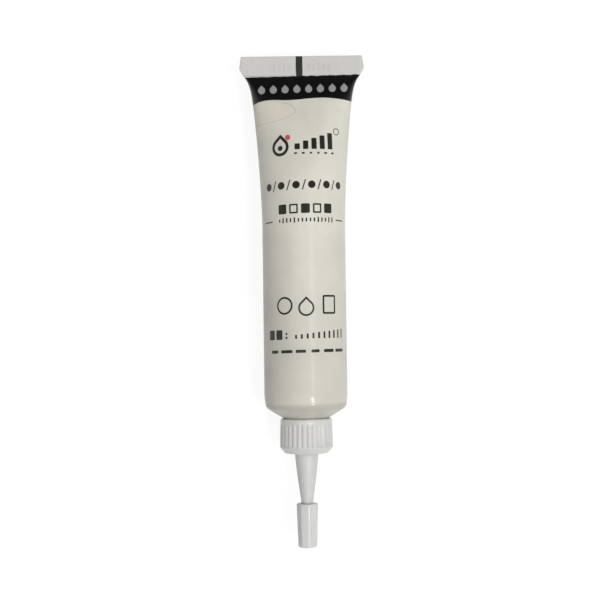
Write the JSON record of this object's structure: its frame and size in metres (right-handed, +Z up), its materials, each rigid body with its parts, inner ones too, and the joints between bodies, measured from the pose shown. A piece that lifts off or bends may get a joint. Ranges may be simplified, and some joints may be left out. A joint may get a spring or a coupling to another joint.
{
  "type": "paint tube",
  "caption": "Soft plastic squeeze tube with a flat sealed end, a screw-on nozzle with a ribbed collar and long spout, and a small push-on eight-sided tip cap.",
  "frame": {"origin": "on the table, under the middle of the tube's length: the bottom centre of the bounding box", "axes": "+Y along the tube's axis towards the sealed end, +Z up from the table, +X across the flat seal"},
  "size_m": [0.0334, 0.1304, 0.0217],
  "materials": {
    "sleeve_film": "warm pale grey satin plastic film with a little gloss",
    "head_plastic": "moulded satin plastic, greener and darker than the sleeve",
    "nozzle_plastic": "moulded pale grey plastic",
    "cap_plastic": "moulded pale grey plastic",
    "paint": "thick wet ivory paint"
  },
  "bodies": {
    "tube": {"sleeve": "sleeve_film", "shoulder_head": "head_plastic", "paint_fill": "paint"},
    "thread_carrier": {"spout_paint": "paint"},
    "nozzle": {"nozzle": "nozzle_plastic"},
    "tip_cap": {"tip_cap": "cap_plastic"}
  },
  "joints": [
    {"name": "nozzle_lift", "type": "slide", "parent": "tube", "child": "thread_carrier", "axis": [0, -1, 0], "range_m": [0, 0.008]},
    {"name": "nozzle_unscrew", "type": "hinge", "parent": "thread_carrier", "child": "nozzle", "pos_m": [0, -0.0312, 0.0107], "axis": [0, -1, 0], "range_deg": [0, 1440]},
    {"name": "tip_cap_pull", "type": "slide", "parent": "nozzle", "child": "tip_cap", "axis": [0, -1, 0], "range_m": [0, 0.011]}
  ],
  "couplings": [
    {"joint": "nozzle_unscrew", "follows": "nozzle_lift", "rad_per_m": 3141.6}
  ]
}
